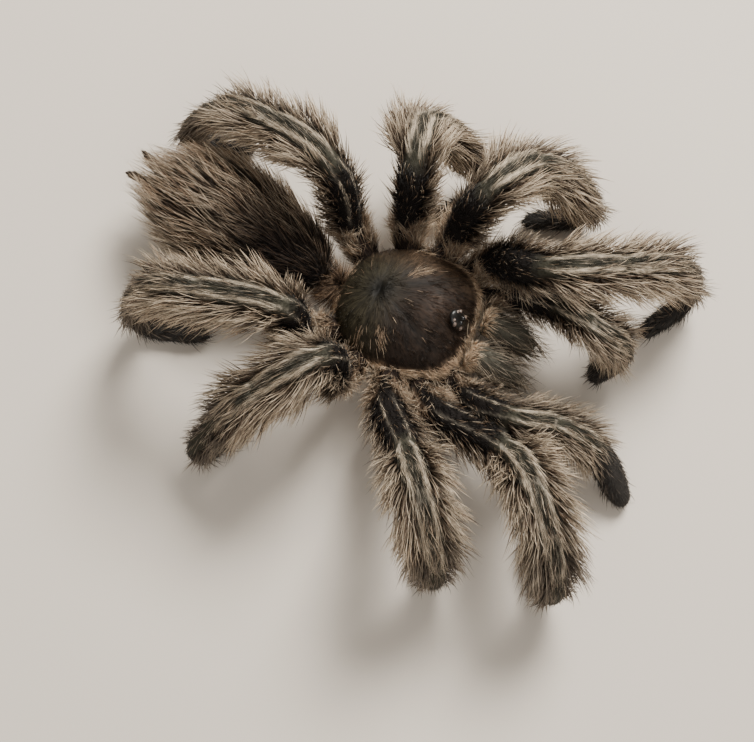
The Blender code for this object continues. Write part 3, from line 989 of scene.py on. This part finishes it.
def add_guard_hairs(coat, region, count, scale):
    """Long pale hairs at the sides, shorter where the solids' top is near."""
    guard = roots_on(region, count, guard_growth)
    guard = pick(guard, guard["place"][:, 2] > 1.5 * MM)
    side = on_side(guard)
    station = guard["station"]
    short = 1 - 0.4 * ramp(station, 2.7, 3.3) - 0.15 * foot_share(guard)
    short = short * (0.8 + 0.2 * ramp(station, 0.8, 1.05))
    headroom = cad_high.z - guard["place"][:, 2]
    short = short * (0.65 + 0.35 * ramp(headroom, 1 * MM, 6 * MM))
    size = lengths(guard, 4.4, 7.9) * scale * short * (0.55 + 0.45 * side)
    lift = 19 + 29 * side
    hairs = grow(guard, size, 0.058 + 0.006 * size, lift, 0.4 * lift, 3, 0.18)
    coat.add(guard, hairs, *guard_colours(guard))


# %% [markdown]
# Soft pale fuzz stands between the hips, only where the shield leaves it open air. Then all five
# growths are grown on every leg and feeler in turn, each limb's coat as a piece of its own.

# %% Hip fuzz, and coats of legs and feelers
def clear_of_shield(known):
    """1 where a standing hair has open air above it, 0 under the shield."""
    return ramp(from_rim(known["place"]), 0.96, 1.08)


def between_hips(known):
    """Where hip fuzz is dense: at the sides of the hip, clear of the shield."""
    hip = 1 - ramp(known["station"], 0.05, 0.2)
    return hip * (0.1 + 0.9 * ramp(np.abs(known["turn"]), 0.5, 1.1)) * clear_of_shield(known)


def add_hip_fuzz(coat, region, count, scale):
    """Soft pale hairs that stand round the hip and the root of the thigh."""
    hip = roots_on(region, count, between_hips)
    size = lengths(hip, 1.8, 4.4) * scale
    tip = mix(HAIR_TAN, HAIR_CREAM, ramp(chances(hip), 0.1, 0.8))
    coat.add(hip, grow(hip, size, 0.05, 50, 26, 2, 0.6), HAIR_BROWN * 0.8, tip)


LIMB_GROWTHS = (add_pile, add_comb, add_bristles, add_guard_hairs, add_hip_fuzz)
LEG_HAIRS = (8000, 1400, 2600, 2800, 1050)
PALP_HAIRS = (4200, 650, 1600, 1500, 550)
PALP_SCALE = 0.8
for region in limbs:
    palp = region.startswith("palp")
    limb_coat = Coat()
    for add_growth, count in zip(LIMB_GROWTHS, PALP_HAIRS if palp else LEG_HAIRS):
        add_growth(limb_coat, region, count, PALP_SCALE if palp else 1.0)
    limb_coat.piece("coat_" + region, "leg_hair")

# %% [markdown]
# The abdomen carries long hairs: a dark underfur, and tan hairs that sweep back and stand a
# little off the body, paler toward the sides and fanned at the rear. The spinnerets are short
# dark stubs, and a tuft of tan fuzz hides the waist.

# %% Coat of the abdomen
def abdomen_coat():
    """Underfur, stubs, long back-swept hairs that fan at the rear, and fuzz round the waist."""
    coat = Coat()
    under = roots_on("abdomen", 9000)
    colour = velvet_colour(under)
    size = lengths(under, 1.3, 2.6)
    coat.add(under, grow(under, size, 0.035 + 0.012 * size, 32, 12, 2), colour * 0.5, colour * 1.35)
    nubs = roots_on("spinneret", 900)
    colour = velvet_colour(nubs)
    size = lengths(nubs, 0.3, 0.6)
    coat.add(nubs, grow(nubs, size, size * 0.09, 55, 35, 1), colour * 0.4, colour * 0.9)
    add_sweep(coat, 3900)
    waist = roots_on("pedicel", 1200)
    size = lengths(waist, 2.4, 6.0)
    tip = mix(HAIR_BROWN, HAIR_TAN, chances(waist))
    # near-black roots: painted shade deep in the coat
    coat.add(waist, grow(waist, size, 0.055, 60, 30, 2, 0.7), HAIR_ROOT_BLACK_AND_SHADE, tip)
    return coat


def add_sweep(coat, count):
    """The abdomen's long hairs, darker and shorter over the dark patch."""
    sweep = roots_on("abdomen", count)
    dark = dark_back(sweep)
    facing_back = sweep["facing"] @ tailward
    end = ramp(facing_back, 0.45, 0.95)
    front = ramp(-facing_back, 0.45, 0.95)
    chance = chances(sweep)
    flank = 1 - ramp(sweep["facing"][:, 2], 0.0, 0.7)
    tip = mix(HAIR_TAN, HAIR_CREAM, ramp(chance + 0.3 * flank, 0.2, 0.8))
    tip = mix(tip, HAIR_BROWN * 0.8, np.clip(dark + 0.6 * (chance < 0.18), 0, 1))
    # dark roots: partly the dark patch, partly painted shade deep in the coat
    root = mix(HAIR_BROWN * 0.3, HAIR_ROOT_BLACK_AND_SHADE * 0.7, dark)
    size = lengths(sweep, 4.2, 7.8) * (1 - 0.25 * dark) * (1 - 0.1 * end) * (1 - 0.4 * front)
    lift = 28 + 34 * end + 15 * front
    hairs = grow(sweep, size, 0.044 + 0.003 * size, lift, 7 + 33 * end, 3, 0.14, 0.8)
    coat.add(sweep, hairs, root, tip)


abdomen_coat().piece("coat_abdomen", "abdomen_hair")

# %% [markdown]
# The jaws have a satin grey-olive pile, long thin bristles that sweep forward over the fangs, and
# a band of pale hairs close to the shield. The breast plate has a short brown pile, and longer
# pale hairs stand on the hips round it.

# %% Coats of the jaws and the underside
def jaw_band(known):
    """The strip of the jaws just in front of the shield, on their upper side."""
    strip = near_value(known["place"][:, 1], shield_low.y - 0.2 * MM, 0.9 * MM)
    return strip * ramp(known["facing"][:, 2], 0.0, 0.6)


def jaw_coat():
    """Satin pile, long thin forward bristles, and a band of pale hairs along the shield's front."""
    coat = Coat()
    pile = roots_on("chelicera", 5000)
    colour = velvet_colour(pile)
    size = lengths(pile, 0.35, 0.6)
    coat.add(pile, grow(pile, size, size * 0.1, 20, 8, 1), colour * 0.75, colour * 1.3)
    bristle = roots_on("chelicera", 800)
    size = lengths(bristle, 2.0, 6.0)
    tip = mix(HAIR_BROWN, HAIR_CREAM * 0.9, ramp(chances(bristle), 0.1, 0.7))
    hairs = grow(bristle, size, 0.03 + 0.005 * size, 24, 0, 3, 0.25)
    coat.add(bristle, hairs, velvet_colour(bristle) * 0.6, tip)
    band = roots_on("chelicera", 1300, jaw_band)
    size = lengths(band, 1.2, 2.6)
    tip = mix(HAIR_TAN, HAIR_CREAM, ramp(chances(band), 0.0, 0.4))
    coat.add(band, grow(band, size, 0.055, 22, 2, 2, 0.08, 0.4), HAIR_TAN, tip)
    return coat


def open_hips(known):
    """The upper part of the hips, clear of the shield."""
    return ramp(known["place"][:, 2], 4.5 * MM, 6.5 * MM) * clear_of_shield(known)


def underside_coat():
    """Short brown pile on the breast plate, and longer pale hairs on the hips round it."""
    coat = Coat()
    pile = roots_on("prosoma_underside", 5000)
    colour = velvet_colour(pile)
    size = lengths(pile, 0.8, 1.6)
    coat.add(pile, grow(pile, size, size * 0.07, 38, 22, 1), colour * 0.8, colour * 2.2)
    hips = roots_on("prosoma_underside", 1900, open_hips)
    size = lengths(hips, 2.0, 4.4)
    tip = mix(HAIR_BROWN, HAIR_CREAM, ramp(chances(hips), 0.0, 0.7))
    # near-black roots: painted shade deep in the coat
    coat.add(hips, grow(hips, size, 0.055, 36, 10, 2, 0.45), HAIR_ROOT_BLACK_AND_SHADE, tip)
    return coat


jaw_coat().piece("coat_jaws", "chelicera_hair")
underside_coat().piece("coat_underside", "underside_hair")

# %% [markdown]
# The shield is a plate of dark horn. It is the solid, rounded by subdivision, with furrows that
# run from the central pit to the hips, as the real plate has where muscles are tied to its inside.
# The solid's own pit is filled, as the finer one sits a little further back.

# %% Shape of the shield
PIT_FORWARD = -4.5
SOLID_PIT_FORWARD = -3.6
FURROW_TURNS = (26, 52, 88, 118, 150)


def from_pit(points):
    """Distance from the pit in mm, turn from straight ahead in degrees, and mm ahead and left."""
    forward = -(points[:, 1] - shield_middle.y) / MM - PIT_FORWARD
    left = (points[:, 0] - shield_middle.x) / MM
    return np.hypot(forward, left), np.degrees(np.arctan2(np.abs(left), forward)), forward, left


def furrow_depth(points):
    """How deep the furrows and the pit cut, in millimetres, at places on the shield."""
    reach, turn, forward, left = from_pit(points)
    depth = np.zeros(len(points))
    for centre in FURROW_TURNS:
        width = 3.0 + 7.0 / np.maximum(reach, 1)
        depth += 0.07 * near_value(turn, centre, width) * near_value(reach, 5.0, 3.0)
    head = 0.10 * near_value(turn, 30, 4 + 8 / np.maximum(reach, 1)) * near_value(reach, 8, 4)
    pit = 0.7 * near_value(left, 0, 1.3) * near_value(forward, 0, 0.5)
    shift = PIT_FORWARD - SOLID_PIT_FORWARD
    solid_pit = 0.6 * near_value(left, 0, 1.7) * near_value(forward, -shift, 1.3)
    return depth + head + pit - solid_pit


shield_mesh = rounded_solid("carapace", 3)
shield_points = read_rows(shield_mesh.vertices, "co")
for axis in (0, 1):
    low, high = shield_points[:, axis].min(), shield_points[:, axis].max()
    growth = (shield_high[axis] - shield_low[axis]) / (high - low)
    shield_points[:, axis] = (low + high) / 2 + (shield_points[:, axis] - (low + high) / 2) * growth
    print("shield rounding given back:", round(growth, 3))
top = shield_points[:, 2] > shield_low.z + 0.6 * MM
shield_points[top, 2] -= furrow_depth(shield_points)[top] * MM
move_points(shield_mesh, shield_points)
shield_surface = surface_of(shield_mesh)

# %% [markdown]
# The horn is matt under a silky film of fine hairs, drawn as a grain 0.28 mm wide that is pulled
# out along the hairs' lie, from the pit to the rim. Its brown turns green-black toward the pit,
# rusty behind the eyes and pale at the rim. Painted light makes the left flank, toward the key
# lamp, lighter, and painted shade darkens the furrows and the pit by their depth.

# %% Finish of the shield
STRAND = 0.28 * MM
STRAND_RATES = (6.0, 0.16, 0.12)
SHIELD_BROWN = paint("1f160f")
SHIELD_LIT_FLANK = paint("493a2c")
SHIELD_GREEN = paint("2c281d")
SHIELD_BLACK = paint("0a0907")
SHIELD_RUST = paint("3d2c20")
SHIELD_RIM = paint("6f5e4e")


def store_strands(mesh, points):
    """Keep on the mesh where each point lies across and along the hairs that run from the pit."""
    reach, turn, _, left = from_pit(points)
    rows = np.stack([np.radians(turn), reach, left], 1) * STRAND_RATES * MM
    layer = mesh.attributes.new("strand", "FLOAT_VECTOR", "POINT")
    layer.data.foreach_set("vector", rows.astype(np.float32).ravel())


def shield_colour(points):
    """Brown horn, green-black toward the pit, rust behind the eyes, paler at the rim; painted light on
    the left flank, painted shade in the furrows.
    """
    reach, turn, forward, left = from_pit(points)
    rust = 0.35 * near_value(forward, 9.4, 2.4) * near_value(left, 0.6, 3.0)
    colour = mix(SHIELD_GREEN, SHIELD_BROWN, ramp(forward, -2.0, 6.0))
    colour = mix(colour, SHIELD_RUST, rust)
    # painted light: the left flank, toward the key lamp, is lighter
    colour = mix(colour, SHIELD_LIT_FLANK, 0.8 * ramp(left, 3.0, 9.0))
    colour = mix(colour, SHIELD_BLACK, 0.95 * near_value(reach, 0, 2.2))
    # painted shade: darker in the furrows and the pit, by their depth
    colour = mix(colour, SHIELD_BLACK, np.clip(furrow_depth(points) * 5.0, 0, 0.5))
    return mix(colour, SHIELD_RIM, 0.8 * ramp(from_rim(points), 0.93, 0.99))


shield_horn = grained_finish(
    "shield_horn", {"Roughness": 0.62, "Specular_IOR_Level": 0.2},
    {"Scale": 1 / STRAND, "Detail": 3.0, "Roughness": 0.6}, (0.35, 0.7, 0.5, 1.8),
    bump=(0.6, 0.1 * MM), strands=True)
store_colour(shield_mesh, shield_colour(shield_points))
store_strands(shield_mesh, shield_points)
shield_piece = add_piece("shield", shield_mesh, shield_horn)
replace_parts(shield_piece, "carapace")
print("shield faces:", len(shield_mesh.polygons))

# %% [markdown]
# Short hairs lie flat on the shield and run outward from the pit. Their tips are lighter, a painted
# sheen, and three in ten away from the pit carry a far brighter painted glint. Pale strokes lie in
# the furrows toward the second and third legs, pale hair whose colour also paints the light that
# glints off it, and a fringe of longer pale hairs sticks out round the rim.

# %% Coat of the shield
def shield_known(weight, count):
    """Known roots on the shield, with hairs lying outward from the pit."""
    place, facing = scatter(shield_surface, weight, count)
    pit = np.array((shield_middle.x, shield_middle.y - PIT_FORWARD * MM, place[:, 2].mean()))
    return {"place": place, "facing": facing, "lie": along_surface(place - pit, facing)}


def shield_map(known):
    """Root's place on the shield seen flat, which is its own unrolled shape."""
    low = np.array(shield_low)[:2]
    size = np.array(shield_high - shield_low)[:2]
    return 0.02 + 0.96 * (known["place"][:, :2] - low) / size


def pale_streaks_and_glints(points):
    """Strokes of pale hair, their paleness partly a painted glint, in the furrows toward the second
    and third legs.
    """
    reach, turn, _, left = from_pit(points)
    right = left < 0
    first = near_value(turn, 48, 7) * near_value(reach, 6.2, 1.6) * np.where(right, 0.3, 1.0)
    second = near_value(turn, 66, 6) * near_value(reach, 7.0, 1.6) * right
    third = 0.7 * near_value(turn, 92, 8) * near_value(reach, 7.0, 1.8) * right
    return np.clip(first + second + third, 0, 1)


def shield_coat():
    """Short hairs lying all over with painted glints at the tips, pale streaks, and a thin fringe
    round the rim.
    """
    coat = Coat(shield_map)
    points, facing, triangles = shield_surface
    middle = points[triangles[:, 0]]
    upper = (facing[triangles[:, 0], 2] > 0.1).astype(float)
    flat = shield_known(upper, 9500)
    size = lengths(flat, 0.9, 2.0)
    colour = shield_colour(flat["place"])
    # painted glint: lighter tips on all, far lighter on three in ten away from the pit
    glints_away_from_pit = 1 - near_value(from_pit(flat["place"])[0], 0, 3.0)
    painted_glint = 2.0 + 3.5 * (chances(flat) < 0.3) * glints_away_from_pit
    hairs = grow(flat, size, 0.02 + size * 0.018, 9, 1, 1, 0.2, 0.6)
    coat.add(flat, hairs, colour * 1.1, colour * painted_glint[:, None], tip_spread=0.3)
    streak = shield_known(upper * (0.002 + pale_streaks_and_glints(middle) ** 2), 170)
    size = lengths(streak, 1.4, 3.0)
    # pale tips: the streak hairs' own colour, partly a painted glint
    tip = mix(HAIR_TAN * 0.7, HAIR_CREAM * 0.8, chances(streak))
    coat.add(streak, grow(streak, size, 0.05, 9, 2, 3, 0.15, 0.4), HAIR_BROWN * 1.5, tip)
    rim = shield_known(upper * ramp(from_rim(middle), 0.95, 0.99), 3400)
    size = lengths(rim, 0.9, 3.2)
    tip = mix(HAIR_TAN, HAIR_CREAM, 0.4 + 0.6 * chances(rim))
    coat.add(rim, grow(rim, size, 0.05, 16, -2, 2, 0.45), HAIR_TAN * 0.8, tip)
    return coat


shield_coat().piece("coat_shield", "carapace")

# %% [markdown]
# The eyes sit on a low mound of polished black horn near the front rim, with a few short hairs.
# Its gloss gives the eye small sharp lights, where the matt shield round it has none.

# %% Eye mound
MOUND_LIE = np.array((0.0, -1.0, 0.3))


def gloss_horn(name, hex_code, roughness):
    """Polished dark horn or lens, clouded a little at 0.6 mm."""
    finish, tree, shader = new_finish(name, Roughness=roughness, IOR=1.5)
    place = add_node(tree, "ShaderNodeTexCoord")
    cloud = add_node(tree, "ShaderNodeTexNoise", {"Vector": place.outputs["Object"]},
                     Scale=1 / (0.6 * MM), Detail=2.0)
    shade = add_node(tree, "ShaderNodeMix", {"Factor": cloud.outputs["Fac"]}, data_type="RGBA")
    shade.inputs[6].default_value = (*paint(hex_code), 1)
    shade.inputs[7].default_value = (*(paint(hex_code) * 2.2), 1)
    tree.links.new(shade.outputs[2], shader.inputs["Base Color"])
    return finish


mound_low, mound_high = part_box("eye_mound")
mound_mesh = rounded_solid("eye_mound", 2)
mound_surface = surface_of(mound_mesh)
mound_horn = gloss_horn("eye_mound_horn", "070605", 0.38)
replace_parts(add_piece("eye_mound_skin", mound_mesh, mound_horn), "eye_mound")
print("mound size:", [round(side / MM, 2) for side in mound_high - mound_low])
place, facing = scatter(mound_surface, 1.0, 130)
mound = {"place": place, "facing": facing, "lie": along_surface(MOUND_LIE[None], facing)}
mound_hair = Coat(shield_map)
hairs = grow(mound, lengths(mound, 0.3, 0.9), 0.025, 35, 10, 1)
mound_hair.add(mound, hairs, HAIR_ROOT_BLACK_AND_SHADE, HAIR_BROWN)
mound_hair.piece("coat_eye_mound", "carapace")

# %% [markdown]
# Eight eyes stand in two rows of four. Each is a glossy bead set in a shallow socket ring. A ball
# in a ring could be used, but one turned profile gives both, with the same tube as the limbs. The
# front middle pair is the largest, round and dark; the others are pearly and oval.

# %% Eyes
# millimetres aside and ahead of the mound's middle, radius, stretch, and whether it is pearly
EYES = ((0.43, 0.78, 0.36, 1.0, False), (1.04, 0.90, 0.27, 1.35, True),
        (0.80, -0.28, 0.20, 1.25, True), (1.22, -0.05, 0.24, 1.4, True))
BEAD_PROFILE = ((1.25, -0.35), (1.22, 0.0), (1.08, 0.1), (1.0, 0.05),
                (0.93, 0.35), (0.75, 0.62), (0.45, 0.83), (0.15, 0.93))
BEAD_SIDES = 20


def on_mound(aside, ahead):
    """Place and facing on the mound's upper side, at offsets in millimetres from its middle."""
    points, facing, _ = mound_surface
    wanted = np.array((mound_low + mound_high) / 2)[:2] + np.array((aside, -ahead)) * MM
    away = np.linalg.norm(points[:, :2] - wanted, axis=1) + 1.0 * (facing[:, 2] < 0.1)
    number = int(np.argmin(away))
    return points[number], facing[number]


def eye_bead(centre, outward, radius, stretch):
    """One lens: a domed bead with a socket ring, turned to face outward."""
    wide, tall = np.array(BEAD_PROFILE).T * radius
    places = centre + outward * tall[:, None]
    ahead = np.repeat(outward[None], len(places), 0)
    return tube(places, ahead, wide, BEAD_SIDES, (0, 1, 0), stretch)


def add_eyes(name, pearly, finish):
    """The dark or the pearly lenses, each set on the mound's surface."""
    points = []
    faces = []
    for aside, ahead, radius, stretch, pale in EYES:
        for sign in (1, -1):
            if pale == pearly:
                bead, bead_faces = eye_bead(*on_mound(sign * aside, ahead), radius * MM, stretch)
                faces += [tuple(i + len(points) for i in face) for face in bead_faces]
                points += bead.tolist()
    mesh = bpy.data.meshes.new(name)
    mesh.from_pydata(points, [], faces)
    mesh.shade_smooth()
    add_piece(name, mesh, finish)


add_eyes("eyes_dark", False, gloss_horn("dark_lens", "0b0a0b", 0.06))
add_eyes("eyes_pearly", True, gloss_horn("pearly_lens", "5c5049", 0.12))
print("eyes made:", 2 * len(EYES))

# %% [markdown]
# The fangs are black horn, folded back under the jaws. They are the solids, rounded, with the
# thick end bent up into the jaw so that no bare ball shows at the hinge.

# %% Fangs
for side in SIDES:
    name = "fang_horn_" + side
    fang_mesh = rounded_solid("fang_" + side, 2)
    fang_points = read_rows(fang_mesh.vertices, "co")
    hinge = 1 - ramp((fang_points[:, 1] - fang_points[:, 1].min()) / MM, 0.4, 2.6)
    move_points(fang_mesh, fang_points + hinge[:, None] * np.array((0, 0.5, 1.3)) * MM)
    fang = add_piece(name, fang_mesh, gloss_horn(name, "120b08", 0.22))
    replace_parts(fang, "fang_" + side)
print("fangs made")

# %% [markdown]
# The floor is a plain pale sheet. A soft key lamp stands high on the left, a wide fill lamp on the
# right, and an even, slightly warm sky keeps the shadows mild.

# %% Floor and lights
FLOOR_REACH = 2.0


def add_floor():
    """A wide plain floor just under the feet."""
    mesh = bpy.data.meshes.new("floor")
    corners = [(x * FLOOR_REACH, y * FLOOR_REACH, 0) for x, y in ((-1, -1), (1, -1), (1, 1), (-1, 1))]
    mesh.from_pydata(corners, [], [(0, 1, 2, 3)])
    floor = bpy.data.objects.new("floor", mesh)
    finish, _, shader = new_finish("plain_floor", Roughness=0.9)
    shader.inputs["Base Color"].default_value = (*paint("d9cfc2"), 1)
    mesh.materials.append(finish)
    scene.collection.objects.link(floor)
    floor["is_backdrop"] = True


def add_lamp(name, place, energy, size, colour):
    """A square soft lamp aimed at the shield."""
    light = bpy.data.lights.new(name, "AREA")
    light.energy = energy
    light.size = size
    light.color = colour
    lamp = bpy.data.objects.new(name, light)
    lamp.location = SHIELD_FLOOR + Vector(place)
    lamp.rotation_euler = (lamp.location - SHIELD_FLOOR).to_track_quat("Z", "Y").to_euler()
    scene.collection.objects.link(lamp)


add_floor()
add_lamp("key_lamp", (0.37, -0.05, 0.46), 7.0, 0.26, (1.0, 0.97, 0.92))
add_lamp("fill_lamp", (-0.5, -0.3, 0.5), 2.0, 0.6, (1.0, 0.97, 0.94))
world = bpy.data.worlds.new("soft_sky")
world.use_nodes = True
sky = world.node_tree.nodes["Background"]
sky.inputs["Color"].default_value = (1.0, 0.96, 0.9, 1)
sky.inputs["Strength"].default_value = 0.45
scene.world = world
print("floor and lights set")

# %% Sizes and the last line
low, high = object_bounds()
print("seconds in all:", round(time.time() - STARTED, 1))
